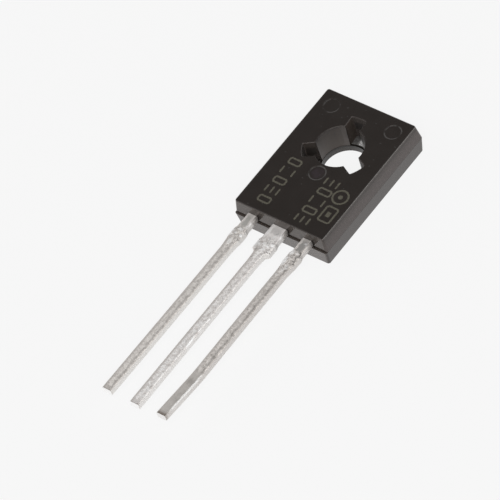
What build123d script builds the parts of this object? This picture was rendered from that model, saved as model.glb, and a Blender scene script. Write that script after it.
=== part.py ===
from build123d import *
import os
from math import radians, sqrt, tan

# Three-lead power transistor in a flat moulded case with a screw hole
# (SOT-32 / TO-126 outline). Millimetres.
#
# Frame: the origin is on the screw hole's axis in the plane of the back, which
# is the mounting face. +Z points out of the marked front, +Y from the leads
# towards the hole end, and +X to the right seen from the front.

# Moulded case
case_thickness = 2.42  # back to front
case_width = 7.48  # at the parting line
hole_to_end = 3.82  # hole axis to the hole end, at the parting line
hole_to_lead_end = 6.87  # hole axis to the front half's lead end, at the parting line
parting_height = 1.24  # back to the parting line, where the leads come out
lead_end_ledge = 0.12  # the back half stands out this far at the lead end
front_draft = 7.7  # degrees, sides and hole end of the front half
front_lead_end_draft = 4.4
back_draft = 6.0
back_lead_end_draft = 5.3
case_corner_radius = 0.17
front_edge_radius = 0.07
back_edge_radius = 0.05

# Screw hole of the case, and the slots that the mould's hold-down pins leave
case_hole_diameter = 3.24  # where it meets the tab
case_hole_draft = 2.0  # degrees, it opens towards the front
slot_width = 1.1
slot_reach = 2.5  # hole axis to the slot's outer end
slot_corner_radius = 0.08
slot_count = 3
slot_turn = 4.0  # degrees, from the case's centre line
hole_rim_chamfer = 0.04

# Ejector-pin marks in the front
pin_mark_diameter = 1.18
pin_mark_depth = 0.03
pin_mark_side_offset = 2.49
pin_mark_end_offset = 2.56  # hole axis to the two by the hole end
pin_mark_lead_offset = 2.46  # hole axis to the one towards the leads

# Strip that the tab and the leads are stamped from
strip_thickness = 0.5
strip_bend_radius = 0.45  # at the middle of the thickness
lead_edge_radius = 0.09

# Tab
tab_width = 5.3
tab_to_hole_end = 2.95  # hole axis to the tab's end
tab_to_bend = 4.1  # hole axis to the bend towards the middle lead
tab_bend_run = 1.1  # the strip climbs to the parting line over this length
tab_hole_diameter = 3.2
tab_corner_chamfer = 0.4
tab_lip_width = 0.3  # coined lip round the tab, which the epoxy grips
tab_lip_thickness = 0.22

# Leads
lead_length = 15.56  # beyond the case
lead_pitch = 2.23
lead_width = 0.7
outer_root_width = 0.75  # outer leads between the case and the dam bar
middle_root_width = 1.19
dam_bar_distance = 1.22  # case to the trimmed dam bar
dam_bar_length = 0.76
dam_bar_stub = 0.06  # left standing on each side
dam_bar_ramp = 0.15
taper_length = 0.9  # from the dam bar to the plain shank
taper_start_width = 0.8
lead_bend_radius = 14.0  # the outer leads are bent a little by handling
emitter_bend_distance = 8.0  # tip to the bend
emitter_tip_rise = 0.08
base_dip_distance = 9.8  # tip to where the dip starts
base_dip = 0.07
base_bend_distance = 3.7  # tip to the upward bend
base_tip_rise = 0.24

# Inner ends of the leads, gripped by the case
shoulder_inset = 0.9  # case to the shoulders
middle_shoulder = 0.12
bond_pad_width = 1.7
bond_pad_length = 1.2
bond_pad_clearance = 0.4  # to the middle strip

# Chip, its solder and its wires
die_side = 1.5
die_thickness = 0.24
die_to_bend = 0.35  # chip to the tab's bend
solder_thickness = 0.05
solder_margin = 0.06
emitter_wire_diameter = 0.2
base_wire_diameter = 0.15
wire_offset = 0.4  # chip's centre line to each wire
wire_start_shift = 0.19  # chip's centre to the wires' starts, towards the hole
wire_foot = 0.32  # length pressed on the chip and on the pad
wire_foot_squash = 0.4  # height of a foot's axis over the face, in diameters
wire_loop_rise = 0.3  # pad's face to the axis at the top of the loop
wire_loop_top = 0.5  # length of the loop's flat top

lead_middle_height = parting_height + strip_thickness / 2
lead_end_y = -(hole_to_lead_end + lead_end_ledge)
shoulder_y = lead_end_y + shoulder_inset
tip_y = lead_end_y - lead_length
die_y = -tab_to_bend + die_to_bend + die_side / 2
die_bottom = strip_thickness + solder_thickness
die_top = die_bottom + die_thickness
bond_pad_y = shoulder_y + bond_pad_length / 2
bond_pad_inner_x = middle_root_width / 2 + middle_shoulder + bond_pad_clearance
blank_width = 2 * case_width  # of the strip that the outer leads are cut from
cut_height = 2 * case_thickness  # of cutting shapes that pass right through


def draft_run(height, angle):
    """How far a drafted wall of this height leans inwards."""
    return height * tan(radians(angle))


def case_section(height, half_width, hole_end, lead_end):
    """Rounded rectangle of the case at one height."""
    outline = RectangleRounded(2 * half_width, hole_end + lead_end, case_corner_radius)
    return Pos(0, (hole_end - lead_end) / 2, height) * outline


def case_half(parting_lead_end, face_height, draft, lead_end_draft, edge_radius):
    """One drafted half of the case, from the parting line to the front or the back."""
    height = abs(face_height - parting_height)
    run = draft_run(height, draft)
    parting = case_section(parting_height, case_width / 2, hole_to_end, parting_lead_end)
    face = case_section(
        face_height,
        case_width / 2 - run,
        hole_to_end - run,
        parting_lead_end - draft_run(height, lead_end_draft),
    )
    half = loft(sorted([parting, face], key=lambda section: section.center().Z), ruled=True)
    outer_face = half.faces().sort_by_distance((0, 0, face_height))[0]
    return fillet(outer_face.edges(), edge_radius)


def slot_outline():
    """One hold-down slot, from the hole's axis out along +Y, ended by an arc."""
    half = slot_width / 2
    corner_y = sqrt(slot_reach**2 - half**2)
    sides = Polyline((-half, corner_y), (-half, 0), (half, 0), (half, corner_y))
    end = ThreePointArc((half, corner_y), (0, slot_reach), (-half, corner_y))
    outline = make_face([*sides.edges(), end])
    return fillet(outline.vertices().sort_by(Axis.Y)[-2:], slot_corner_radius)


def screw_hole():
    """Hole through the case: as wide as the tab's, then tapered, with the slots over the tab."""
    depth = case_thickness - strip_thickness
    radius = case_hole_diameter / 2
    front_radius = radius + draft_run(depth, case_hole_draft)
    hole = Pos(0, 0, strip_thickness / 2) * Cylinder(tab_hole_diameter / 2, strip_thickness)
    hole += Pos(0, 0, strip_thickness + depth / 2) * Cone(radius, front_radius, depth)
    slot = Pos(0, 0, strip_thickness) * extrude(slot_outline(), depth)
    for index in range(slot_count):
        hole += Rot(0, 0, slot_turn + index * 360 / slot_count) * slot
    return hole


def pin_marks():
    """Shallow round marks that the ejector pins leave in the front."""
    places = [
        (-pin_mark_side_offset, pin_mark_end_offset),
        (pin_mark_side_offset, pin_mark_end_offset),
        (0, -pin_mark_lead_offset),
    ]
    mark = Cylinder(pin_mark_diameter / 2, pin_mark_depth)
    return [Pos(x, y, case_thickness - pin_mark_depth / 2) * mark for x, y in places]


def bent_strip(line, width, bend_radius):
    """Flat strip whose middle follows a bent line of (y, z) points."""
    path = FilletPolyline(*[(0, y, z) for y, z in line], radius=bend_radius)
    start = Plane(origin=path @ 0, x_dir=(1, 0, 0), z_dir=path % 0)
    return sweep(start * Rectangle(width, strip_thickness), path)


def exposed_plan(root_width):
    """Plan of a lead from its tip to its shoulders, about its own centre line."""
    dam_start = lead_end_y - dam_bar_distance
    dam_end = dam_start - dam_bar_length
    root_half = root_width / 2
    right = [
        (lead_width / 2, tip_y),
        (lead_width / 2, dam_end - taper_length),
        (taper_start_width / 2, dam_end - dam_bar_ramp),
        (root_half + dam_bar_stub, dam_end),
        (root_half + dam_bar_stub, dam_start),
        (root_half, dam_start + dam_bar_ramp),
        (root_half, shoulder_y),
    ]
    left = [(-x, y) for x, y in reversed(right)]
    return make_face(Polyline(*right, *left, close=True))


def stamped(plan, line, width, bend_radius):
    """Piece cut from the strip to a plan and bent along a line, shank edges rounded."""
    body = bent_strip(line, width, bend_radius) & extrude(plan, cut_height)
    shank_edges = [
        edge
        for edge in body.edges()
        if edge.bounding_box().size.Y > lead_edge_radius
        and edge.center().Y < shoulder_y - lead_edge_radius
    ]
    return fillet(shank_edges, lead_edge_radius)


def outer_lead(side, bends):
    """Emitter lead (side -1) or base lead (side 1); its bends are (distance from tip, rise)."""
    centre_x = side * lead_pitch
    pad_x = side * (bond_pad_inner_x + bond_pad_width / 2)
    plan = Pos(centre_x, 0) * exposed_plan(outer_root_width)
    plan += Pos(pad_x, bond_pad_y) * Rectangle(bond_pad_width, bond_pad_length)
    line = [(shoulder_y + bond_pad_length, lead_middle_height)]
    line += [(tip_y + distance, lead_middle_height + rise) for distance, rise in bends]
    return stamped(plan, line, blank_width, lead_bend_radius)


def collector():
    """Tab and middle lead in one: flat in the back, then bent up to the parting line."""
    neck_width = middle_root_width + 2 * middle_shoulder
    tab_length = tab_to_hole_end + tab_to_bend
    tab_middle_y = (tab_to_hole_end - tab_to_bend) / 2
    tab = Rectangle(tab_width, tab_length)
    tab = chamfer(tab.vertices(), tab_corner_chamfer)
    plan = exposed_plan(middle_root_width)
    plan += Pos(0, (shoulder_y - tab_to_bend) / 2) * Rectangle(
        neck_width, -shoulder_y - tab_to_bend + tab_corner_chamfer
    )
    plan += Pos(0, tab_middle_y) * tab
    line = [
        (tab_to_hole_end, strip_thickness / 2),
        (-tab_to_bend, strip_thickness / 2),
        (-tab_to_bend - tab_bend_run, lead_middle_height),
        (tip_y, lead_middle_height),
    ]
    body = stamped(plan, line, tab_width, strip_bend_radius)
    lip_outline = offset(tab, tab_lip_width, kind=Kind.INTERSECTION)
    lip = Pos(0, tab_middle_y, strip_thickness - tab_lip_thickness) * extrude(
        lip_outline, tab_lip_thickness
    )
    body += lip
    return body - Cylinder(tab_hole_diameter / 2, cut_height)


def die():
    """Silicon chip on the tab, between the hole and the bend."""
    return Pos(0, die_y, die_bottom + die_thickness / 2) * Box(die_side, die_side, die_thickness)


def die_solder():
    """Solder layer under the chip, a little larger than it."""
    side = die_side + 2 * solder_margin
    return Pos(0, die_y, strip_thickness + solder_thickness / 2) * Box(side, side, solder_thickness)


def bond_wire(side, diameter, held_by):
    """Wire looped from the chip to a bond pad, its feet pressed flat on both."""
    axis_height = diameter * wire_foot_squash
    pad_face = parting_height + strip_thickness
    start = Vector(side * wire_offset, die_y + wire_start_shift)
    end = Vector(side * (bond_pad_inner_x + bond_pad_width / 2), bond_pad_y)
    along = (end - start).normalized()
    length = (end - start).length
    loop = [
        (0, die_top + axis_height),
        (wire_foot, die_top + axis_height),
        ((length - wire_loop_top) / 2, pad_face + wire_loop_rise),
        ((length + wire_loop_top) / 2, pad_face + wire_loop_rise),
        (length - wire_foot, pad_face + axis_height),
        (length, pad_face + axis_height),
    ]
    points = [start + along * distance + Vector(0, 0, height) for distance, height in loop]
    path = Polyline(*points)
    section = Plane(origin=path @ 0, z_dir=path % 0) * Circle(diameter / 2)
    return sweep(section, path, transition=Transition.RIGHT) - held_by


def moulding(pieces):
    """The case, moulded round everything that it holds."""
    front = case_half(
        hole_to_lead_end, case_thickness, front_draft, front_lead_end_draft, front_edge_radius
    )
    back = case_half(-lead_end_y, 0, back_draft, back_lead_end_draft, back_edge_radius)
    case = front + back - screw_hole()
    rim = case.faces().sort_by(Axis.Z)[-1].inner_wires()[0].edges()
    return chamfer(rim, hole_rim_chamfer) - pin_marks() - pieces


def build():
    """Every piece of the transistor by its node name."""
    emitter_bends = [(emitter_bend_distance, 0), (0, emitter_tip_rise)]
    base_bends = [(base_dip_distance, 0), (base_bend_distance, -base_dip), (0, base_tip_rise)]
    nodes = {
        "collector_frame": collector(),
        "emitter_lead": outer_lead(-1, emitter_bends),
        "base_lead": outer_lead(1, base_bends),
        "transistor_die": die(),
        "die_attach_solder": die_solder(),
    }
    chip = nodes["transistor_die"]
    nodes["emitter_bond_wire"] = bond_wire(-1, emitter_wire_diameter, [chip, nodes["emitter_lead"]])
    nodes["base_bond_wire"] = bond_wire(1, base_wire_diameter, [chip, nodes["base_lead"]])
    nodes["moulded_body"] = moulding(list(nodes.values()))
    return nodes


os.makedirs("parts", exist_ok=True)
for node, piece in build().items():
    export_step(piece, f"parts/{node}.step")
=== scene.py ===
import math
from dataclasses import dataclass

import bpy
import numpy as np
from mathutils import Matrix, Vector, noise


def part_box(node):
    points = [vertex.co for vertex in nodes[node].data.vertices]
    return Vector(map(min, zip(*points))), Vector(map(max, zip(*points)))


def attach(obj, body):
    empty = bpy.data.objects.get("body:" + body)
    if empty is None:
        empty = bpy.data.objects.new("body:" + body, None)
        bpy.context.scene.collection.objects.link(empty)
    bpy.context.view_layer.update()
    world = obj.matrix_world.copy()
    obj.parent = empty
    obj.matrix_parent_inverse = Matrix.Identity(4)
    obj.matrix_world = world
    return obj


# Looks of a flat moulded power transistor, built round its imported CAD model.
# The frame is the model's: +Z out of the marked front, +Y from the leads
# towards the hole end, +X to the right seen from the front, and the origin on
# the screw hole's axis in the back plane. The frame is in metres. Sizes and
# places here are in millimetres, and MM turns them into metres.

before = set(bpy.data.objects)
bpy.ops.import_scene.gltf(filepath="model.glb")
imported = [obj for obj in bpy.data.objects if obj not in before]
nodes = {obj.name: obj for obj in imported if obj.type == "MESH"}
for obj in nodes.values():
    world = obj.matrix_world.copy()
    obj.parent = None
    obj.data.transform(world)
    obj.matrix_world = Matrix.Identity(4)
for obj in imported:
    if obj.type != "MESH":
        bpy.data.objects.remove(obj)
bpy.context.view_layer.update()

MM = 0.001
LOW, HIGH = 0, 1
Y, Z = 1, 2


def box_side(node, end, axis):
    """One side of a CAD node's box, in millimetres to the nearest micrometre."""
    return round(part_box(node)[end][axis] / MM, 3)


# Case
CASE_TOP = box_side("moulded_body", HIGH, Z)
LEDGE = 0.12  # the back half stands out this far at the lead end
LEAD_WALL_Y = box_side("moulded_body", LOW, Y) + LEDGE
HOLE_RIM = 1.73  # radius of the screw hole at the front
SLOT_REACH = 2.5  # hole axis to the slots' outer ends
PIN_MARK_RADIUS = 0.59
PIN_MARKS = [(-2.49, 2.56, 0.75), (2.49, 2.56, 0.75), (0.0, -2.46, 0.9)]  # x, y, strength of the ring

# Leads
LEAD_PITCH = 2.23
STRIP_THICKNESS = 0.5
HALF_THICK = STRIP_THICKNESS / 2
LEAD_TOP = box_side("collector_frame", HIGH, Z)
LEAD_MIDDLE = LEAD_TOP - HALF_THICK
PARTING = LEAD_TOP - STRIP_THICKNESS  # the leads lie on the case's parting line
TIP_Y = box_side("collector_frame", LOW, Y)
OUTER_ROOT = 0.375  # half width between the case and the dam bar
MIDDLE_ROOT = 0.595
LEAD_ROOTS = [(-LEAD_PITCH, OUTER_ROOT), (0.0, MIDDLE_ROOT), (LEAD_PITCH, OUTER_ROOT)]


# ---------------------------------------------------------------- node helpers


class Graph:
    """The nodes of one material or world. Places in it are in millimetres."""

    def __init__(self, owner, output="ShaderNodeOutputMaterial"):
        self.owner = owner
        owner.use_nodes = True
        self.tree = owner.node_tree
        self.tree.nodes.clear()
        self.output = self.tree.nodes.new(output)

    def put(self, made, key, value):
        """Link a socket to an input, or set a constant on it."""
        if isinstance(value, bpy.types.NodeSocket):
            self.tree.links.new(value, made.inputs[key])
        else:
            made.inputs[key].default_value = value

    def node(self, kind, settings=None, **inputs):
        made = self.tree.nodes.new(kind)
        for key, value in (settings or {}).items():
            setattr(made, key, value)
        for key, value in inputs.items():
            self.put(made, key.replace("_", " "), value)
        return made

    def math(self, operation, *values, clamp=False):
        made = self.node("ShaderNodeMath", {"operation": operation, "use_clamp": clamp})
        for index, value in enumerate(values):
            self.put(made, index, value)
        return made.outputs[0]

    def chain(self, operation, values, clamp):
        """One operation over two or more values. Only the result is clamped."""
        total = values[0]
        for value in values[1:-1]:
            total = self.math(operation, total, value)
        return self.math(operation, total, values[-1], clamp=clamp)

    def times(self, *values, clamp=False):
        return self.chain("MULTIPLY", values, clamp)

    def plus(self, *values, clamp=False):
        return self.chain("ADD", values, clamp)

    def minus(self, a, b, clamp=False):
        return self.math("SUBTRACT", a, b, clamp=clamp)

    def without(self, mask, share=1.0):
        """A factor of 1 outside the mask, lower by the share inside it."""
        return self.minus(1.0, mask if share == 1.0 else self.times(mask, share))

    def ramp(self, value, start, end, to_start=0.0, to_end=1.0):
        """Soft step from to_start, where value is at start, to to_end, where it is at end."""
        made = self.node("ShaderNodeMapRange", {"interpolation_type": "SMOOTHSTEP"})
        numbers = (value, start, end, to_start, to_end)
        for key, number in zip(("Value", "From Min", "From Max", "To Min", "To Max"), numbers):
            self.put(made, key, number)
        return made.outputs[0]

    def near(self, value, centre, outer, inner):
        """Mask of a line: 1 within inner of the centre, 0 beyond outer."""
        return self.ramp(self.math("ABSOLUTE", self.minus(value, centre)), outer, inner)

    def mix(self, factor, a, b):
        made = self.node("ShaderNodeMix", {"data_type": "RGBA"})
        for index, value in ((0, factor), (6, a), (7, b)):
            self.put(made, index, value)
        return made.outputs[2]

    def noise(self, coords, scale, detail=2.0, roughness=0.5):
        """Soft noise from 0 to 1. The scale is in features per millimetre."""
        made = self.node("ShaderNodeTexNoise", Vector=coords, Scale=scale, Detail=detail, Roughness=roughness)
        return made.outputs[0]

    def position(self):
        """Object coordinates in millimetres."""
        where = self.node("ShaderNodeTexCoord").outputs["Object"]
        scaled = self.node("ShaderNodeVectorMath", {"operation": "SCALE"}, Scale=1 / MM)
        self.put(scaled, 0, where)
        return scaled.outputs[0]

    def stretched(self, coords, scale):
        """Coordinates whose noise is drawn out along an axis with a scale below 1."""
        return self.node("ShaderNodeMapping", Vector=coords, Scale=scale).outputs[0]

    def split(self, vector):
        """The x, y and z of a vector."""
        return self.node("ShaderNodeSeparateXYZ", Vector=vector).outputs

    def normal(self, kind):
        """The x, y and z of the surface's direction."""
        return self.split(self.node("ShaderNodeNewGeometry").outputs[kind])

    def distance(self, x, y, centre_x, centre_y):
        """Distance from a point, seen from the front."""
        across, along = self.minus(x, centre_x), self.minus(y, centre_y)
        return self.math("SQRT", self.plus(self.times(across, across), self.times(along, along)))

    def bump(self, height, depth, strength, normal=None):
        made = self.node("ShaderNodeBump", Height=height, Distance=depth * MM, Strength=strength)
        if normal is not None:
            self.put(made, "Normal", normal)
        return made.outputs[0]

    def blend(self, share, a, b):
        """Mix of two shaders."""
        made = self.node("ShaderNodeMixShader")
        for index, value in enumerate((share, a, b)):
            self.put(made, index, value)
        return made.outputs[0]

    def finish(self, shader):
        self.put(self.output, "Surface", shader)
        return self.owner

    def surface(self, **inputs):
        """End the material with a Principled shader that has these inputs."""
        return self.finish(self.node("ShaderNodeBsdfPrincipled", **inputs).outputs[0])


def material_graph(name):
    """An empty graph of a new material."""
    return Graph(bpy.data.materials.new(name))


def grey(value, warm=0.0):
    """A nearly neutral colour; warm shifts it towards red."""
    return (value * (1 + warm), value, value * (1 - warm), 1.0)


def shade(colour, factor):
    """The colour made darker or lighter, up to full brightness."""
    return tuple(min(1.0, factor * channel) for channel in colour[:3]) + (1.0,)


# ---------------------------------------------------------------- case


class Epoxy(Graph):
    """Black moulded epoxy: a matte, finely grained front and smoother walls."""

    def __init__(self):
        super().__init__(bpy.data.materials.new("moulded_epoxy"))
        self.place = self.position()
        self.x, self.y, self.z = self.split(self.place)
        _, self.ny, self.nz = self.normal("True Normal")
        self.reach = self.distance(self.x, self.y, 0.0, 0.0)  # from the screw hole's axis
        self.blotch = self.noise(self.place, 0.9, 4.0, 0.6)
        self.grain = self.noise(self.place, 16.0, 3.0, 0.6)

        # Masks that several layers share
        near_top = self.ramp(self.z, CASE_TOP - 0.1, CASE_TOP - 0.05)
        self.front = self.times(self.ramp(self.nz, 0.95, 0.99), near_top)
        self.front_edge = self.times(
            self.ramp(self.nz, 0.25, 0.5),
            self.ramp(self.nz, 0.985, 0.93),
            self.ramp(self.z, CASE_TOP - 0.12, CASE_TOP - 0.08),
        )
        self.front_half = self.ramp(self.z, PARTING - 0.03, PARTING + 0.03)
        self.lead_end = self.ramp(self.ny, -0.7, -0.9)
        in_reach = self.ramp(self.reach, SLOT_REACH + 0.12, SLOT_REACH + 0.05)
        self.hole = self.times(in_reach, self.ramp(self.nz, 0.5, 0.2))
        self.slot = self.ramp(self.reach, HOLE_RIM - 0.03, HOLE_RIM + 0.03)

    def moulded(self):
        """Walls in two tones that meet at the parting line, and a nearly black front."""
        upper = self.mix(self.blotch, (0.036, 0.030, 0.029, 1), (0.044, 0.037, 0.036, 1))
        upper = self.mix(self.ramp(self.z, 1.7, 2.2), upper, (0.022, 0.018, 0.017, 1))
        lower = self.mix(self.blotch, (0.004, 0.003, 0.003, 1), (0.009, 0.007, 0.006, 1))
        walls = self.mix(self.front_half, lower, upper)
        front = self.mix(self.blotch, (0.0034, 0.0016, 0.0004, 1), (0.0060, 0.0036, 0.0020, 1))
        return self.mix(self.front, walls, front)

    def screw_hole(self, colour):
        """Dull walls with dark specks of grime under the rim, slots painted lighter as painted light in their
        depth with dark ends, and a dark rim.
        """
        walls = self.mix(self.ramp(self.z, 0.5, 2.0), (0.022, 0.016, 0.011, 1), (0.012, 0.008, 0.005, 1))
        dirt_and_shade = self.noise(self.place, 5.0, 4.0, 0.65)
        specks = self.times(self.ramp(dirt_and_shade, 0.54, 0.62), self.ramp(self.z, 1.3, 2.0))
        walls = self.mix(specks, walls, (0.004, 0.0035, 0.003, 1))
        # Slot walls painted lighter than the hole, as painted light in their depth; their outer ends dark
        slot_end = self.ramp(self.reach, SLOT_REACH - 0.06, SLOT_REACH + 0.02)
        slots = self.mix(slot_end, (0.046, 0.036, 0.029, 1), (0.004, 0.003, 0.002, 1))
        colour = self.mix(self.hole, colour, self.mix(self.slot, walls, slots))
        rim = self.times(
            self.ramp(self.reach, HOLE_RIM + 0.03, HOLE_RIM - 0.03),
            self.ramp(self.nz, 0.99, 0.95),
            self.ramp(self.z, CASE_TOP - 0.2, CASE_TOP - 0.12),
        )
        return self.mix(rim, colour, (0.003, 0.002, 0.0015, 1))

    def painted_rim_highlights(self, colour):
        """Painted highlights round the front and faint round the slots, with a dark line lower on the walls.
        """
        # Painted highlight on the front's edges, left off the lead end
        rim = self.times(
            self.front_edge,
            self.ramp(self.reach, SLOT_REACH + 0.2, SLOT_REACH + 0.35, 0.16, 1.0),
            self.ramp(self.reach, HOLE_RIM - 0.05, HOLE_RIM + 0.05),
            self.ramp(self.ny, -0.1, -0.5, 1.0, 0.0),
            self.ramp(self.grain, 0.3, 0.6, 0.5, 1.0),
        )
        colour = self.mix(rim, colour, grey(0.15, 0.03))
        line = self.times(
            self.near(self.z, CASE_TOP - 0.2, 0.09, 0.03),
            self.ramp(self.reach, SLOT_REACH + 0.3, SLOT_REACH + 0.5),
            0.8,
        )
        return self.mix(line, colour, (0.004, 0.003, 0.003, 1))

    def lead_wall(self, colour):
        """Lead end: painted a little lighter as painted light, with painted shade in the corners beside each
        lead, and a ledge painted pale as painted light.
        """
        # Painted light: the lead end is a little lighter than the other walls
        below = self.mix(self.blotch, (0.036, 0.030, 0.027, 1), (0.048, 0.040, 0.036, 1))
        above = self.mix(self.blotch, (0.026, 0.021, 0.018, 1), (0.036, 0.030, 0.026, 1))
        colour = self.mix(self.lead_end, colour, self.mix(self.front_half, below, above))
        # Painted shade in the corners beside each lead, next to the case
        corners = []
        for centre_x, half_width in LEAD_ROOTS:
            aside = self.minus(self.math("ABSOLUTE", self.minus(self.x, centre_x)), half_width)
            corners.append(self.ramp(aside, 0.26, 0.06))
        dirt_and_shade = self.times(
            self.plus(*corners),
            self.ramp(self.z, PARTING - 0.1, PARTING),
            self.ramp(self.z, LEAD_TOP + 0.3, LEAD_TOP),
            self.lead_end,
            0.9,
        )
        colour = self.mix(dirt_and_shade, colour, (0.002, 0.0015, 0.001, 1))
        # Painted light: the upward-facing ledge is paler
        ledge = self.times(
            self.ramp(self.nz, 0.8, 0.95), self.ramp(self.z, PARTING + 0.1, PARTING + 0.05)
        )
        return self.mix(ledge, colour, (0.060, 0.050, 0.044, 1))

    def pin_marks(self, colour):
        """Ejector-pin marks: broken pale rings, with a faint tint in the one by the leads."""
        away = [self.distance(self.x, self.y, x, y) for x, y, _ in PIN_MARKS]
        rings = [
            self.times(self.near(gap, PIN_MARK_RADIUS - 0.025, 0.065, 0.02), strength)
            for gap, (_, _, strength) in zip(away, PIN_MARKS)
        ]
        broken = self.ramp(self.noise(self.place, 2.2, 2.0, 0.6), 0.40, 0.56, 0.12, 1.0)
        ring = self.times(self.plus(*rings), broken, self.front, clamp=True)
        tint = self.times(
            self.ramp(away[-1], PIN_MARK_RADIUS, PIN_MARK_RADIUS / 2),
            self.front,
            self.ramp(self.noise(self.place, 2.0), 0.35, 0.6, 0.2, 0.9),
        )
        colour = self.mix(tint, colour, (0.0185, 0.0120, 0.0165, 1.0))
        return self.mix(ring, colour, grey(0.085, 0.03))

    def dust_and_seam(self, colour):
        """Dust on the front, and the dark parting line round the walls."""
        dust = self.times(self.ramp(self.noise(self.place, 6.0, 0.0), 0.825, 0.86), self.front)
        colour = self.mix(dust, colour, grey(0.036, 0.03))
        seam = self.times(
            self.near(self.z, PARTING, 0.035, 0.01),
            self.ramp(self.noise(self.place, 3.0), 0.4, 0.6, 0.55, 1.0),
            self.ramp(self.nz, 0.5, 0.3),
            self.ramp(self.reach, SLOT_REACH + 0.2, SLOT_REACH + 0.35),
        )
        return self.mix(seam, colour, (0.0, 0.0, 0.0, 1.0))

    def roughness(self):
        """Smooth walls, and a duller front, edges, hole and slots."""
        by_hole = self.times(
            self.ramp(self.reach, SLOT_REACH + 0.25, SLOT_REACH + 0.15), self.ramp(self.nz, 0.99, 0.95)
        )
        dull = self.plus(
            self.times(self.front, 0.22),
            self.times(self.front_edge, 0.22),
            self.times(by_hole, 0.30),
            self.times(self.hole, self.slot, 0.22),
        )
        dull = self.minus(dull, self.times(self.lead_end, 0.05))
        return self.plus(dull, self.ramp(self.blotch, 0.3, 0.7, 0.09, 0.13))

    def material(self):
        colour = self.moulded()
        for layer in (self.screw_hole, self.painted_rim_highlights, self.lead_wall, self.pin_marks, self.dust_and_seam):
            colour = layer(colour)
        fine = self.noise(self.place, 45.0, 2.0, 0.6)
        return self.surface(
            Base_Color=colour,
            Roughness=self.roughness(),
            IOR=1.66,
            Specular_Tint=(1.0, 0.90, 0.86, 1.0),
            Normal=self.bump(fine, 0.002, 0.25, self.bump(self.grain, 0.004, 0.3)),
        )


def marking():
    """Faint olive-grey laser marking."""
    g = material_graph("laser_marking")
    speckle = g.noise(g.position(), 14.0, 3.0, 0.7)
    colour = g.mix(g.ramp(speckle, 0.32, 0.68), (0.052, 0.048, 0.034, 1), (0.108, 0.100, 0.074, 1))
    return g.surface(Base_Color=colour, Roughness=0.7, Normal=g.bump(speckle, 0.004, 0.5))


# ---------------------------------------------------------------- tin

PALER_Y = (-11.0, -18.0)  # the tin grows paler between these
STREAK_X = 0.19  # from the lead's middle
PAINTED_GLINT_X = 0.33
CUT_Y = TIP_Y + 0.2  # the cut face's looks lie beyond this


@dataclass
class Lead:
    """One lead: its course, the tones of its tin, and its lumps and pits."""

    name: str
    x: float  # its middle
    widths: list  # (y, half width), root to tip
    line: list  # (y, height over a straight lead), root to tip
    seed: float
    lumpiness: float
    light: tuple  # blotches of the tin
    dark: tuple
    side: tuple  # flank
    facet: tuple  # flat facet by the case
    end: tuple  # cut end
    facet_span: tuple  # left edge, right edge, outer end y
    # Lumps are painted white as highlights, pits and folds dark as painted shade
    spots: list  # (x from the middle, y, size, stretch along y, strength: lumps +, pits and folds -)
    streak: float  # strength of the dark streak along the top
    burr: tuple = (0.07, 0.5)  # width and strength of the dark line at the cut end
    # Glints along the right edge are painted highlights
    painted_glints: tuple | None = None  # scale, threshold, start y, strength
    dull_from: float | None = None  # y from which the tin is smooth and dull, to the tip


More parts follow.
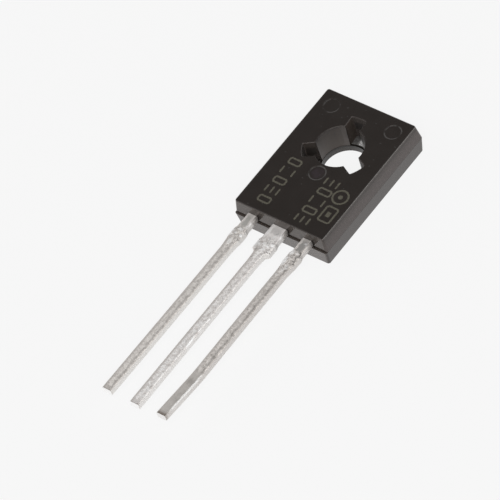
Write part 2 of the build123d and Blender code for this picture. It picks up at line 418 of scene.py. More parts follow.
class Tin(Graph):
    """Hot-dip tin: soft blotches on top, a darker streak by its right edge, smooth sides."""

    def __init__(self, lead):
        super().__init__(bpy.data.materials.new(f"tin_{lead.name}"))
        self.lead = lead
        self.place = self.position()
        self.drawn = self.stretched(self.place, (1.0, 0.8, 1.0))
        x, self.y, _ = self.split(self.place)
        self.nx, self.ny, self.nz = self.normal("Normal")
        self.local = self.minus(x, lead.x)
        self.from_root = self.minus(LEAD_WALL_Y, self.y)
        self.patches = self.noise(self.drawn, 5.0, 3.0, 0.6)
        self.pits = self.noise(self.place, 8.0, 3.0, 0.6)
        self.crumpled = self.ramp(self.noise(self.place, 5.2, 3.0, 0.65), 0.38, 0.58)

        # The same coordinates with a little wobble, for hand-made looking edges
        self.across = self.plus(self.local, self.ramp(self.noise(self.place, 4.5), 0.3, 0.7, -0.06, 0.06))
        self.down = self.plus(self.y, self.ramp(self.noise(self.drawn, 5.3), 0.3, 0.7, -0.07, 0.07))

        # Masks: sides of the lead, then stretches along it
        self.top = self.ramp(self.nz, 0.5, 0.85)
        self.upper = self.ramp(self.nz, -0.1, 0.2)
        self.flank = self.without(self.ramp(self.math("ABSOLUTE", self.nz), 0.45, 0.75))
        self.right_side = self.times(self.flank, self.ramp(self.local, 0.0, 0.2))
        self.cut_face = self.times(self.ramp(self.ny, -0.6, -0.8), self.ramp(self.y, CUT_Y + 0.1, CUT_Y))
        self.root = self.ramp(self.from_root, 1.15, 0.75)
        self.dam = self.times(self.ramp(self.from_root, 0.9, 1.2), self.ramp(self.from_root, 3.4, 2.4))
        smooth, self.streaked = self.root, 1.0
        if lead.dull_from is not None:
            self.dull_end = self.ramp(self.y, lead.dull_from + 0.8, lead.dull_from)
            smooth = self.math("MAXIMUM", smooth, self.dull_end)
            self.streaked = self.without(self.dull_end, 0.85)
        self.uneven = self.times(
            self.without(smooth, 0.8),
            self.without(self.flank, 0.92),
            self.ramp(self.math("ABSOLUTE", self.nx), 0.12, 0.45, 1.0, 0.15),
            self.without(self.cut_face),
        )

        # Duller right edge and flank close to the case, also darkened there as painted shade
        ragged = self.ramp(self.noise(self.place, 3.5), 0.3, 0.7, -0.06, 0.08)
        self.dull_shaded_root = self.times(
            self.ramp(self.nx, 0.0, 0.15), self.ramp(self.minus(self.from_root, ragged), 0.62, 0.28)
        )

    def blotches(self):
        """Blotches, lighter towards the tip, crumpled most where the dam bar was cut away, with painted shade
        in the pits.
        """
        light, dark = self.lead.light, self.lead.dark
        far = self.ramp(self.y, *PALER_Y)
        lit = self.mix(far, light, shade(light, 1.1))
        dim = self.mix(far, dark, shade(dark, 1.14))
        colour = self.mix(self.ramp(self.patches, 0.36, 0.62), dim, lit)
        lumps = self.mix(self.crumpled, shade(dark, 0.86), shade(light, 1.06))
        colour = self.mix(self.plus(self.times(self.dam, 0.25), 0.5), colour, lumps)
        # Painted shade in the pits
        pit_shade = self.times(self.ramp(self.pits, 0.56, 0.72, 0.0, 0.45), self.uneven)
        return self.mix(pit_shade, colour, shade(dark, 0.6))

    def root_facet(self, colour):
        """Flat facet next to the case, between edges painted lighter as painted light."""
        left, right, outer_end = self.lead.facet_span
        flat = self.times(
            self.ramp(self.across, left - 0.07, left + 0.07),
            self.ramp(self.across, right + 0.08, right - 0.08),
            self.ramp(self.down, outer_end - 0.14, outer_end + 0.10),
            self.ramp(self.from_root, 0.05, 0.35, 0.45, 1.0),
            self.top,
        )
        # Painted light: the top is lighter next to the case
        colour = self.mix(self.times(self.root, self.top, 0.7), colour, self.lead.light)
        return self.mix(flat, colour, self.lead.facet)

    def dull_stretch(self, colour):
        """Dull last stretch, on the lead that has one."""
        if self.lead.dull_from is None:
            return colour
        cloud = self.noise(self.drawn, 1.4, 3.0, 0.6)
        dull = self.mix(self.ramp(cloud, 0.38, 0.62), (0.44, 0.415, 0.39, 1), (0.60, 0.57, 0.54, 1))
        paler = self.ramp(self.y, TIP_Y + 1.9, TIP_Y + 0.7, 0.0, 0.7)
        dull = self.mix(paler, dull, (0.66, 0.63, 0.60, 1))
        return self.mix(self.times(self.dull_end, self.top), colour, dull)

    def edges_and_streak(self, colour):
        """Painted shade on the left edge, a dark streak along the top, and a plain flank."""
        # Painted shade: the left edge is darker
        shaded_left_edge = self.times(
            self.ramp(self.local, -0.08, -0.26), self.upper, self.ramp(self.from_root, 1.0, 1.4), 0.9
        )
        colour = self.mix(shaded_left_edge, colour, (0.58, 0.545, 0.52, 1))
        wander = self.ramp(self.noise(self.drawn, 1.3, 2.0), 0.3, 0.7, -0.045, 0.035)
        streak = self.times(
            self.near(self.minus(self.local, STREAK_X), wander, 0.15, 0.01),
            self.ramp(self.patches, 0.35, 0.6, 1.0, 0.5),
            self.ramp(self.from_root, 2.0, 2.8, 0.0, self.lead.streak),
            self.top,
            self.streaked,
        )
        colour = self.mix(streak, colour, shade(self.lead.dark, 0.66))
        return self.mix(self.times(self.right_side, 0.9), colour, self.lead.side)

    def lump_highlights_and_pit_shade(self, colour):
        """Painted highlights on the larger lumps and painted shade in the pits and folds, where the dam bar
        was cut away.
        """
        for x, y, size, stretch, strength in self.lead.spots:
            away = self.distance(self.across, self.math("DIVIDE", self.down, stretch), x, y / stretch)
            spot = self.times(self.ramp(away, 1.5 * size, 0.4 * size), abs(strength), self.upper)
            # Painted highlight on lumps, painted shade in pits and folds
            colour = self.mix(spot, colour, grey(1.0) if strength > 0 else shade(self.lead.dark, 0.22))
        return colour

    def painted_edge_glints(self, colour):
        """Painted highlights: glints along the right edge, on the leads that have them."""
        if self.lead.painted_glints is None:
            return colour
        scale, threshold, start_y, strength = self.lead.painted_glints
        painted_glints = self.noise(self.drawn, scale, 1.0)
        painted_glint = self.times(
            self.ramp(painted_glints, threshold - 0.06, threshold + 0.10, 0.0, strength),
            self.near(self.local, PAINTED_GLINT_X, 0.08, 0.02),
            self.ramp(self.y, start_y + 0.3, start_y),
            self.ramp(self.y, TIP_Y + 0.3, TIP_Y + 0.9),
            self.upper,
        )
        return self.mix(painted_glint, colour, grey(1.0))

    def cut_end(self, colour):
        """A smooth last stretch, a dark burr line on top and a pale face."""
        last = self.times(self.ramp(self.y, TIP_Y + 0.36, TIP_Y + 0.28), self.top, 0.6)
        colour = self.mix(last, colour, shade(self.lead.dark, 0.85))
        width, strength = self.lead.burr
        burr = self.times(
            self.ramp(self.y, TIP_Y + width, TIP_Y + 0.3 * width),
            strength,
            self.ramp(self.nx, 0.9, 0.4, 0.5, 1.0),
        )
        colour = self.mix(burr, colour, (0.22, 0.18, 0.155, 1))
        return self.mix(self.cut_face, colour, self.lead.end)

    def shaded_root(self, colour):
        """Painted shade on the duller right edge and flank close to the case, darkest at the case."""
        shadow = self.mix(
            self.ramp(self.from_root, 0.3, 0.0), (0.34, 0.32, 0.305, 1), (0.16, 0.148, 0.14, 1)
        )
        return self.mix(self.dull_shaded_root, colour, shadow)

    def roughness(self):
        """Rough tin, rougher on the right edge and by the case, and a smoother cut face."""
        edge = self.times(self.ramp(self.nx, 0.25, 0.5), self.ramp(self.nx, 0.97, 0.8))
        tin = self.minus(self.ramp(self.pits, 0.3, 0.7, 0.56, 0.66), self.times(self.cut_face, 0.25))
        return self.plus(tin, self.times(edge, 0.25), self.times(self.dull_shaded_root, 0.25), clamp=True)

    def metallic(self):
        """Tin that reads as half metal, more on the sides and the cut face, less by the case."""
        sides = self.times(self.math("MAXIMUM", self.flank, self.cut_face), 0.25)
        metal = self.minus(self.plus(0.62, sides), self.times(self.root, self.right_side, 0.55))
        metal = self.minus(metal, self.times(self.dull_shaded_root, 0.6))
        return self.plus(metal, self.times(self.cut_face, 0.13), clamp=True)

    def relief(self):
        """Bump from blotches, creases and pits, from the broadest to the finest."""
        creases = self.times(self.crumpled, self.plus(self.times(self.dam, 0.5), 0.45))
        normal = self.bump(self.times(self.patches, self.uneven), 0.036, 0.6)
        normal = self.bump(self.times(creases, self.uneven), 0.030, 0.6, normal)
        return self.bump(self.times(self.pits, self.uneven), 0.012, 0.5, normal)

    def material(self):
        colour = self.blotches()
        for layer in (
            self.root_facet, self.dull_stretch, self.edges_and_streak, self.lump_highlights_and_pit_shade,
            self.painted_edge_glints, self.cut_end, self.shaded_root,
        ):
            colour = layer(colour)
        return self.surface(
            Base_Color=colour, Roughness=self.roughness(), Metallic=self.metallic(), Normal=self.relief()
        )


# ---------------------------------------------------------------- strip and inner metals


def strip_metal():
    """Plated copper strip: a drawn tab with painted light and shade on its face in the slots and painted
    shade on its hole's wall, and cut lead ends.
    """
    g = material_graph("plated_strip")
    position = g.position()
    x, y, z = g.split(position)
    lines = g.noise(g.stretched(position, (9.0, 0.35, 9.0)), 3.0, 3.0, 0.6)
    clouds = g.noise(position, 1.3, 3.0, 0.6)
    plated = g.mix(g.ramp(clouds, 0.35, 0.65), grey(0.60, 0.02), grey(0.72, 0.01))
    plated = g.mix(g.ramp(lines, 0.45, 0.7, 0.0, 0.35), plated, grey(0.5, 0.02))

    # Face of the tab at the bottom of the slots: pitted, with a painted patch of light, and painted shade
    # towards the slot ends and on the left
    reach = g.distance(x, y, 0.0, 0.0)
    face = g.times(
        g.ramp(z, STRIP_THICKNESS - 0.04, STRIP_THICKNESS - 0.01),
        g.ramp(reach, SLOT_REACH + 0.2, SLOT_REACH + 0.1),
        g.ramp(reach, HOLE_RIM + 0.01, HOLE_RIM + 0.07),
    )
    pitted = g.noise(position, 7.0, 4.0, 0.7)
    bright = g.mix(g.ramp(pitted, 0.4, 0.6), grey(0.50, 0.03), grey(0.98, 0.01))
    # Painted shade towards the slot end and on the left of the face
    by_slot_end = g.ramp(y, SLOT_REACH - 0.45, SLOT_REACH - 0.08, 0.0, 0.85)
    bright = g.mix(by_slot_end, bright, grey(0.10, 0.04))
    bright = g.mix(g.ramp(x, -0.12, -0.36, 0.0, 0.9), bright, grey(0.06, 0.06))
    colour = g.mix(face, plated, bright)

    # Wall of the tab's hole, darkened as painted shade, darker towards the case
    shaded_hole_wall = g.times(g.ramp(reach, HOLE_RIM + 0.07, HOLE_RIM + 0.01), g.ramp(z, 0.0, 0.01))
    hole_wall_shade = g.mix(g.ramp(z, 0.30, 0.38), (0.040, 0.034, 0.030, 1), (0.014, 0.012, 0.010, 1))
    colour = g.mix(shaded_hole_wall, colour, hole_wall_shade)

    cut = g.ramp(y, TIP_Y + 0.03, TIP_Y + 0.005)
    colour = g.mix(cut, colour, (0.98, 0.915, 0.90, 1.0))
    return g.surface(
        Base_Color=colour,
        Roughness=g.plus(g.ramp(lines, 0.3, 0.7, 0.24, 0.4), g.times(face, 0.25)),
        Metallic=g.minus(g.minus(1.0, shaded_hole_wall), g.times(face, 0.6), clamp=True),
        Normal=g.bump(g.times(pitted, face), 0.05, 0.6, g.bump(lines, 0.004, 0.4)),
    )


def plain_metal(name, low, high, rough_low, rough_high, scale):
    """Inner metal pieces, with a little variation."""
    g = material_graph(name)
    cloud = g.noise(g.position(), scale, 3.0, 0.6)
    return g.surface(
        Base_Color=g.mix(cloud, low, high),
        Roughness=g.ramp(cloud, 0.3, 0.7, rough_low, rough_high),
        Metallic=1.0,
        Normal=g.bump(cloud, 0.004, 0.3),
    )


def dress(obj, material):
    """Give an object one material."""
    obj.data.materials.clear()
    obj.data.materials.append(material)


STRIP = strip_metal()
WIRE = plain_metal("aluminium_wire", grey(0.74), grey(0.82), 0.25, 0.4, 12.0)
CAD_MATERIALS = {
    "moulded_body": Epoxy().material(),
    "collector_frame": STRIP,
    "emitter_lead": STRIP,
    "base_lead": STRIP,
    "transistor_die": plain_metal(
        "silicon_chip", (0.20, 0.21, 0.24, 1), (0.26, 0.27, 0.31, 1), 0.12, 0.2, 4.0
    ),
    "die_attach_solder": plain_metal("chip_solder", grey(0.42), grey(0.55), 0.4, 0.55, 8.0),
    "emitter_bond_wire": WIRE,
    "base_bond_wire": WIRE,
}
for node, material in CAD_MATERIALS.items():
    dress(nodes[node], material)


# ---------------------------------------------------------------- tin coats


def mesh_object(name, vertices, faces, material, smooth=True):
    """Mesh from points in millimetres; it rides on the root body."""
    mesh = bpy.data.meshes.new(name)
    mesh.from_pydata([tuple(c * MM for c in vertex) for vertex in vertices], [], faces)
    mesh.validate()
    mesh.update()
    if smooth:
        mesh.polygons.foreach_set("use_smooth", [True] * len(mesh.polygons))
        mesh.set_sharp_from_angle(angle=math.radians(60))
    obj = bpy.data.objects.new(name, mesh)
    bpy.context.scene.collection.objects.link(obj)
    dress(obj, material)
    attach(obj, "root")
    return obj


# The stamped leads, as the CAD model has them
INSIDE_Y = -6.5  # a place inside the case, where the tables start
DAM_START = LEAD_WALL_Y - LEDGE - 1.22  # the dam bar's stubs are full width from here
DAM_END = DAM_START - 0.76  # to here
DAM_STUB = 0.06  # how far they stand out
DAM_RAMP = 0.15
TAPER_START = 0.40  # half width
TAPER_LENGTH = 0.9
SHANK = 0.35  # half width
BEND_RADIUS = 14.0

# The coat's mesh
COAT_INSIDE = 0.06  # it starts this far inside the case
COAT_PAST_TIP = 0.008
COAT_THICK = 0.010
COAT_LEAST = 0.002  # in its deepest pits
COAT_SKIN = 0.0015  # what is left of it where it fades out
COAT_CROWN = 0.012  # more in the middle of the top and the underside
DAM_THICK = 0.012  # more where the dam bar was cut away
SPOT_HEIGHT = 0.030
STATION_STEP = 0.045
POINTS_ON_TOP = 11
POINTS_ON_SIDE = 7
CORNER_STEPS = 6
CORNER = 0.085  # a little sharper than the strip, so the coat covers its edges


def lead_widths(root):
    """Half widths of a stamped lead along y, root to tip."""
    return [
        (INSIDE_Y, root),
        (DAM_START + DAM_RAMP, root),
        (DAM_START, root + DAM_STUB),
        (DAM_END, root + DAM_STUB),
        (DAM_END - DAM_RAMP, TAPER_START),
        (DAM_END - TAPER_LENGTH, SHANK),
        (TIP_Y, SHANK),
    ]


def along(table, y):
    """A table's value at y, straight between its points."""
    points = sorted(table)
    return np.interp(y, [p[0] for p in points], [p[1] for p in points])


def bent(line, y):
    """Height along a bent line, its corners rounded as the strip's are."""
    height = along(line, y)
    for before, corner, after in zip(line, line[1:], line[2:]):
        slopes = [(b[1] - a[1]) / (b[0] - a[0]) for a, b in ((before, corner), (corner, after))]
        turn = slopes[0] - slopes[1]
        reach = BEND_RADIUS * abs(turn) / 2
        inside = np.maximum(0.0, reach - np.abs(y - corner[0]))
        height += math.copysign(1.0, turn) * inside**2 / (2 * BEND_RADIUS)
    return height


def softened(widths, stations):
    """Half widths at the stations, with the table's corners smoothed outwards."""
    half = along(widths, stations)
    window = np.exp(-0.5 * (np.arange(-4, 5) / 1.6) ** 2)
    window /= window.sum()
    return np.maximum(half, np.convolve(np.pad(half, 4, mode="edge"), window, mode="valid"))


def section(half_width):
    """Points and outward normals round a lead's section, a rounded rectangle."""
    points, normals = [], []
    flat_x = half_width - CORNER
    flat_z = HALF_THICK - CORNER
    corners = [(flat_x, flat_z), (-flat_x, flat_z), (-flat_x, -flat_z), (flat_x, -flat_z)]
    for index, (x, z) in enumerate(corners):
        for step in range(CORNER_STEPS + 1):
            angle = math.radians(90 * (index + step / CORNER_STEPS))
            direction = (math.cos(angle), math.sin(angle))
            points.append((x + CORNER * direction[0], z + CORNER * direction[1]))
            normals.append(direction)
        next_x, next_z = corners[(index + 1) % 4]
        count = POINTS_ON_TOP if index % 2 == 0 else POINTS_ON_SIDE
        for step in range(1, count + 1):
            share = step / (count + 1)
            flat = (x + (next_x - x) * share, z + (next_z - z) * share)
            points.append((flat[0] + CORNER * direction[0], flat[1] + CORNER * direction[1]))
            normals.append(direction)
    return points, normals


def lump(point, seed, stretch, size):
    """Smooth lump field, about -1 to 1, drawn out along the lead."""
    p = Vector((point[0] / size, point[1] / (size * stretch), point[2] / size)) + Vector((seed, 2 * seed, 0))
    return noise.noise(p) + 0.5 * noise.noise(p * 2.1 + Vector((5, 1, 3)))


def spot_height(spots, x, y):
    """Height that the lumps, pits and folds add at a place on a lead's top."""
    total = 0.0
    for spot_x, spot_y, size, stretch, strength in spots:
        away = ((x - spot_x) ** 2 + ((y - spot_y) / stretch) ** 2) / size**2
        if away < 9.0:
            total += SPOT_HEIGHT * strength * math.exp(-away)
    return total


def coat_ring(lead, y, half_width, rise):
    """Points of the coat's skin round the lead at y."""
    from_root = LEAD_WALL_Y - y
    fade = np.interp(from_root, [0.0, 0.25, 0.9, 1.3], [0.15, 0.35, 0.5, 1.0])
    fade *= np.interp(y - TIP_Y, [0.2, 0.4], [0.12, 1.0])
    dam = np.interp(from_root, [1.0, 1.3, 2.2, 2.8], [0.0, 1.0, 1.0, 0.0])
    ring = []
    for (px, pz), (nx, nz) in zip(*section(half_width)):
        place = (px + lead.x, y, pz + LEAD_MIDDLE + rise)
        broad = lump(place, lead.seed, 2.6, 0.30)
        close = lump(place, lead.seed + 9, 1.5, 0.14)
        crown = COAT_CROWN * (1 - (px / half_width) ** 2) if abs(nz) > 0.5 else 0.0
        evenness = 0.12 + 0.88 * abs(nz) ** 3
        height = COAT_THICK + (0.010 * broad + 0.005 * close) * lead.lumpiness * evenness
        height += dam * (DAM_THICK + (0.024 * close + 0.010 * broad) * evenness)
        if nz > 0.1:
            height += spot_height(lead.spots, px, y) * evenness
        height = (max(height, COAT_LEAST) + crown) * fade + COAT_SKIN
        ring.append((place[0] + nx * height, y, place[2] + nz * height))
    return ring


def coat(lead):
    """Tin coat of one lead, a closed skin just outside the stamped strip."""
    start, end = LEAD_WALL_Y + COAT_INSIDE, TIP_Y - COAT_PAST_TIP
    stations = np.linspace(start, end, int((start - end) / STATION_STEP) + 1)
    halves = softened(lead.widths, stations)
    rises = bent(lead.line, stations)
    rings = [coat_ring(lead, *station) for station in zip(stations, halves, rises)]
    size = len(rings[0])
    faces = []
    for row in range(len(rings) - 1):
        here, there = row * size, (row + 1) * size
        for column in range(size):
            following = (column + 1) % size
            faces.append((here + column, here + following, there + following, there + column))
    last = (len(rings) - 1) * size
    faces.append(tuple(reversed(range(size))))
    faces.append(tuple(last + column for column in range(size)))
    vertices = [point for ring in rings for point in ring]
    obj = mesh_object(f"{lead.name}_tinning", vertices, faces, Tin(lead).material())


EMITTER = Lead(
    name="emitter",
    x=-LEAD_PITCH,
    widths=lead_widths(OUTER_ROOT),
    line=[(INSIDE_Y, 0.0), (TIP_Y + 8.0, 0.0), (TIP_Y, 0.08)],
    seed=1.0,
    lumpiness=1.0,
    light=(0.82, 0.785, 0.75, 1),
    dark=(0.60, 0.565, 0.535, 1),
    side=(0.79, 0.775, 0.755, 1),
    facet=(0.53, 0.515, 0.49, 1),
    end=grey(0.98, 0.005),
    facet_span=(-0.20, 0.13, -7.85),
    streak=0.65,
    spots=[
        (0.31, -7.65, 0.06, 5.0, 0.7), (0.08, -8.03, 0.05, 1.0, -0.6), (0.05, -8.15, 0.17, 0.8, 0.5),
        (-0.24, -8.16, 0.06, 2.0, -0.5), (-0.17, -8.44, 0.05, 1.0, -0.45), (-0.14, -8.57, 0.05, 1.0, 0.9),
        (-0.02, -8.72, 0.10, 0.9, -0.3), (0.37, -8.60, 0.06, 2.4, 0.8), (0.36, -8.95, 0.07, 1.4, -0.5),
        (-0.35, -8.60, 0.09, 3.2, 0.6), (-0.05, -9.30, 0.14, 1.6, 0.5),
    ],
)
COLLECTOR = Lead(
    name="collector",
    x=0.0,
    widths=lead_widths(MIDDLE_ROOT),
    line=[(INSIDE_Y, 0.0), (TIP_Y, 0.0)],
    seed=4.0,
    lumpiness=1.15,
    light=(0.96, 0.925, 0.905, 1),
    dark=(0.71, 0.67, 0.645, 1),
    side=(0.79, 0.775, 0.76, 1),
    facet=(0.72, 0.695, 0.68, 1),
    end=grey(0.98, 0.005),
    facet_span=(-0.34, 0.36, -7.50),
    streak=0.3,
    painted_glints=(2.0, 0.60, -14.5, 1.0),
    spots=[
        (-0.45, -7.60, 0.09, 4.0, 0.6), (0.55, -7.50, 0.06, 5.0, 0.7), (0.20, -7.38, 0.06, 1.2, -0.25),
        (0.45, -7.42, 0.05, 1.2, -0.25), (0.18, -7.75, 0.10, 1.0, 0.6), (0.02, -7.95, 0.11, 0.9, -0.3),
        (0.50, -8.30, 0.14, 0.9, 0.7), (0.20, -8.50, 0.10, 0.9, 0.8), (0.10, -8.22, 0.10, 1.5, -0.25),
        (-0.46, -8.38, 0.05, 1.2, -0.35), (-0.33, -8.60, 0.12, 1.0, 0.5), (0.14, -8.85, 0.10, 1.0, 0.7),
        (0.58, -8.90, 0.14, 0.35, -0.6), (0.60, -9.02, 0.11, 0.3, 0.4), (-0.33, -9.02, 0.09, 0.8, -0.4),
        (0.28, -9.05, 0.07, 0.9, -0.25), (-0.18, -9.58, 0.08, 1.2, -0.3), (0.02, -9.35, 0.10, 1.5, 0.4),
        (0.38, -9.20, 0.06, 1.0, -0.25), (-0.05, -8.05, 0.07, 1.0, 0.5), (-0.15, -8.90, 0.06, 1.0, -0.25),
        (-0.56, -8.60, 0.13, 3.0, 0.7), (-0.32, -8.15, 0.10, 1.2, 0.5), (-0.10, -8.45, 0.12, 1.0, 0.6),
    ],
)
BASE = Lead(
    name="base",
    x=LEAD_PITCH,
    widths=lead_widths(OUTER_ROOT),
    line=[(INSIDE_Y, 0.0), (TIP_Y + 9.8, 0.0), (TIP_Y + 3.7, -0.07), (TIP_Y, 0.24)],
    seed=7.0,
    lumpiness=1.0,
    light=(0.81, 0.77, 0.735, 1),
    dark=(0.53, 0.495, 0.465, 1),
    side=(0.65, 0.625, 0.605, 1),
    facet=(0.41, 0.395, 0.38, 1),
    end=grey(0.86, 0.015),
    facet_span=(-0.16, 0.26, -7.90),
    streak=0.9,
    burr=(0.26, 0.85),
    painted_glints=(1.3, 0.42, -18.9, 0.65),
    dull_from=-19.0,
    spots=[
        (0.12, -7.18, 0.10, 0.7, 0.6), (0.22, -7.08, 0.05, 0.8, -0.5), (0.02, -7.06, 0.05, 0.8, -0.4),
        (0.10, -8.12, 0.10, 1.0, 0.5), (0.29, -8.00, 0.07, 1.8, -0.6), (0.34, -8.20, 0.08, 1.8, -0.8),
        (0.28, -8.46, 0.07, 2.2, -0.7), (0.28, -8.70, 0.07, 2.0, -0.7), (0.35, -8.90, 0.09, 1.0, -0.8),
        (-0.08, -8.38, 0.10, 1.0, -0.3), (-0.28, -8.15, 0.13, 1.5, 0.8), (-0.30, -8.90, 0.13, 2.8, 0.85),
        (0.10, -9.30, 0.10, 1.3, 0.5), (-0.04, -9.05, 0.05, 2.5, -0.25), (0.02, -9.62, 0.08, 2.0, 0.4),
        (-0.12, -10.05, 0.10, 0.9, 0.4),
    ],
)
for lead in (EMITTER, COLLECTOR, BASE):
    coat(lead)


# ---------------------------------------------------------------- front marks

# Plain shapes where the front carries its marking. They spell nothing.
MARK_FOOT = CASE_TOP - 0.002
MARK_TOP = CASE_TOP + 0.004
STROKE = 0.13
MARK_LENGTH = 0.58
MARK_ROWS = [  # left, right, first y, pitch, shapes
    (-2.36, -1.33, -6.10, 0.85, ("box", "triple", "box", "pair", "box")),
    (0.84, 1.92, -6.30, 0.82, ("triple", "box", "pair", "box", "triple")),
]
RING_MARK = (2.58, -3.42, 0.54)  # x, y, radius
DOT_RADIUS = 0.17
PLATE_MARK = (2.25, -5.55, 3.12, -4.32)  # left, low, right, high
SQUARE_HALF = (0.15, 0.2)


def prism(vertices, faces, outline):
    """Filled shape that stands a few micrometres proud."""
    base = len(vertices)
    count = len(outline)
    for height in (MARK_FOOT, MARK_TOP):
        vertices.extend((x, y, height) for x, y in outline)
    faces.append(tuple(base + index for index in reversed(range(count))))
    faces.append(tuple(base + count + index for index in range(count)))
    for index in range(count):
        following = (index + 1) % count
        faces.append((base + index, base + following, base + count + following, base + count + index))


def bar(vertices, faces, x, y0, y1):
    """Straight stroke along y with round ends."""
    outline = []
    for y, turn in ((y1, 0), (y0, 180)):
        for step in range(7):
            angle = math.radians(turn + 30 * step)
            outline.append((x + STROKE / 2 * math.cos(angle), y + STROKE / 2 * math.sin(angle)))
    prism(vertices, faces, outline)


def closed_stroke(vertices, faces, outer, inner):
    """Closed stroke between two outlines with as many points each."""
    base = len(vertices)
    count = len(outer)
    for (ox, oy), (ix, iy) in zip(outer, inner):
        vertices.extend([(ix, iy, MARK_FOOT), (ox, oy, MARK_FOOT), (ox, oy, MARK_TOP), (ix, iy, MARK_TOP)])
    for step in range(count):
        here, there = base + 4 * step, base + 4 * ((step + 1) % count)
        for side in range(4):
            other = (side + 1) % 4
            faces.append((here + side, there + side, there + other, here + other))


def circle(x, y, radius, steps):
    """Outline of a circle."""
    turns = [2 * math.pi * step / steps for step in range(steps)]
    return [(x + radius * math.cos(turn), y + radius * math.sin(turn)) for turn in turns]


def cut_box(x0, y0, x1, y1, cut):
    """Outline of a box with cut corners."""
    return [
        (x0 + cut, y0), (x1 - cut, y0), (x1, y0 + cut), (x1, y1 - cut),
        (x1 - cut, y1), (x0 + cut, y1), (x0, y1 - cut), (x0, y0 + cut),
    ]


def box_stroke(vertices, faces, x0, y0, x1, y1):
    """Box drawn with one closed stroke round its middle line."""
    half = STROKE / 2
    outer = cut_box(x0 - half, y0 - half, x1 + half, y1 + half, STROKE)
    inner = cut_box(x0 + half, y0 + half, x1 - half, y1 - half, STROKE * 0.45)
    closed_stroke(vertices, faces, outer, inner)


def marks():
    """Two rows of plain boxes and bars, a ring with a dot, and a box with a small square."""
    vertices, faces = [], []
    half = STROKE / 2
    for left, right, first_y, pitch, shapes in MARK_ROWS:
        low, high = left + half, right - half
        for index, shape in enumerate(shapes):
            y0 = first_y + index * pitch + half
            y1 = y0 + MARK_LENGTH - STROKE
            if shape == "box":
                box_stroke(vertices, faces, low, y0, high, y1)
            else:
                for x in (low, high) if shape == "pair" else (low, (low + high) / 2, high):
                    bar(vertices, faces, x, y0, y1)
    x, y, radius = RING_MARK
    closed_stroke(vertices, faces, circle(x, y, radius + half, 48), circle(x, y, radius - half, 48))
    prism(vertices, faces, circle(x, y, DOT_RADIUS, 20))
    x0, y0, x1, y1 = PLATE_MARK
    box_stroke(vertices, faces, x0, y0, x1, y1)
    x, y = (x0 + x1) / 2, (y0 + y1) / 2
    dx, dy = SQUARE_HALF
    prism(vertices, faces, [(x - dx, y - dy), (x + dx, y - dy), (x + dx, y + dy), (x - dx, y + dy)])
    obj = mesh_object("front_marks", vertices, faces, marking(), smooth=False)


marks()


# ---------------------------------------------------------------- stage

FLOOR_HALF = 3.0  # metres
FLOOR_GAP = 0.02  # under the part, so that the two don't share a plane
WHITE_SHARE = 0.93  # of the floor's own plain white where it is seen


def stage_floor():
    """Pale floor that shows plain white and keeps a soft shadow."""
    g = material_graph("pale_floor")
    rays = g.node("ShaderNodeLightPath").outputs
    seen = g.math("MAXIMUM", rays["Is Camera Ray"], rays["Is Glossy Ray"])
    seen = g.math("MAXIMUM", seen, rays["Is Transmission Ray"])
    diffuse = g.node("ShaderNodeBsdfDiffuse", Color=grey(0.9))
    glow = g.node("ShaderNodeEmission", Color=grey(0.935))
    material = g.finish(g.blend(g.times(seen, WHITE_SHARE), diffuse.outputs[0], glow.outputs[0]))
    mesh = bpy.data.meshes.new("floor")
    half, z = FLOOR_HALF, -FLOOR_GAP * MM
    corners = [(-half, -half, z), (half, -half, z), (half, half, z), (-half, half, z)]
    mesh.from_pydata(corners, [], [(0, 1, 2, 3)])
    floor = bpy.data.objects.new("floor", mesh)
    bpy.context.scene.collection.objects.link(floor)
    dress(floor, material)


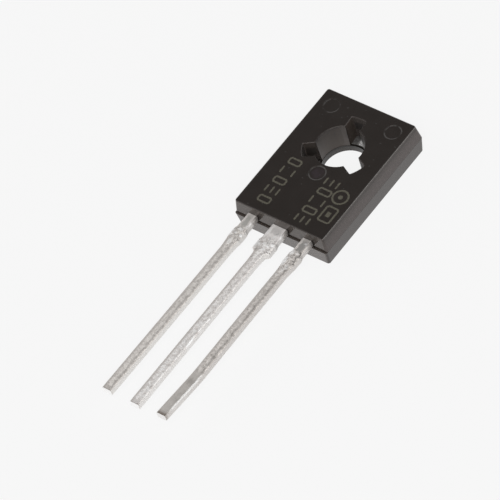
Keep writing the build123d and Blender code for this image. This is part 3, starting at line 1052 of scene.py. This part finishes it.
def tent():
    """Light tent: bright low down, dim overhead, and white to the camera."""
    g = Graph(bpy.data.worlds.new("tent"), "ShaderNodeOutputWorld")
    height = g.split(g.node("ShaderNodeTexCoord").outputs["Generated"])[2]
    ramp = g.node("ShaderNodeValToRGB", Fac=height)
    stops = [(0.0, 0.95), (0.3, 0.85), (0.6, 0.43), (0.8, 0.20), (1.0, 0.16)]  # height, brightness
    while len(ramp.color_ramp.elements) < len(stops):
        ramp.color_ramp.elements.new(0.5)
    for element, (place, level) in zip(ramp.color_ramp.elements, stops):
        element.position = place
        element.color = grey(level)
    cloth = g.node("ShaderNodeBackground", Color=ramp.outputs[0])
    white = g.node("ShaderNodeBackground", Color=grey(0.93))
    seen = g.node("ShaderNodeLightPath").outputs["Is Camera Ray"]
    bpy.context.scene.world = g.finish(g.blend(seen, cloth.outputs[0], white.outputs[0]))


# ---------------------------------------------------------------- lamps and camera, in metres

PART_MIDDLE = Vector((0.0, -0.009, 0.001))
LAMPS = [  # name, place, side, watts
    ("key", (0.32, -0.34, 0.55), 0.30, 3.0),
    ("fill", (-0.55, -0.25, 0.40), 0.35, 0.8),
    ("edge", (0.50, 0.34, 0.50), 0.22, 0.3),
]

# The photo's camera, fitted to the case's corners, the hole and the leads
CAMERA_PLACE = Vector((0.152952, -0.131656, 0.233289))
CAMERA_RIGHT = Vector((0.78340, 0.58479, -0.21050))
CAMERA_UP = Vector((-0.36111, 0.70391, 0.61164))
SENSOR_WIDTH = 36.0  # millimetres, as is the lens
FOCAL_LENGTH = 9.498  # in sensor widths


def lamp(name, place, side, watts):
    """Soft square lamp aimed at the part."""
    data = bpy.data.lights.new(name, "AREA")
    data.shape = "SQUARE"
    data.size = side
    data.energy = watts
    obj = bpy.data.objects.new(name, data)
    bpy.context.scene.collection.objects.link(obj)
    obj.location = place
    obj.rotation_mode = "QUATERNION"
    obj.rotation_quaternion = (PART_MIDDLE - Vector(place)).to_track_quat("-Z", "Y")


def photo_camera():
    """Camera at the place that the photo was taken from."""
    data = bpy.data.cameras.new("camera")
    data.sensor_width = SENSOR_WIDTH
    data.lens = FOCAL_LENGTH * SENSOR_WIDTH
    data.clip_start = 0.01
    data.clip_end = 20.0
    camera = bpy.data.objects.new("camera", data)
    bpy.context.scene.collection.objects.link(camera)
    axes = Matrix((CAMERA_RIGHT, CAMERA_UP, CAMERA_RIGHT.cross(CAMERA_UP))).transposed()
    camera.matrix_world = Matrix.Translation(CAMERA_PLACE) @ axes.to_4x4()
    bpy.context.scene.camera = camera


stage_floor()
tent()
for settings in LAMPS:
    lamp(*settings)
photo_camera()
bpy.context.scene.view_settings.view_transform = "Standard"
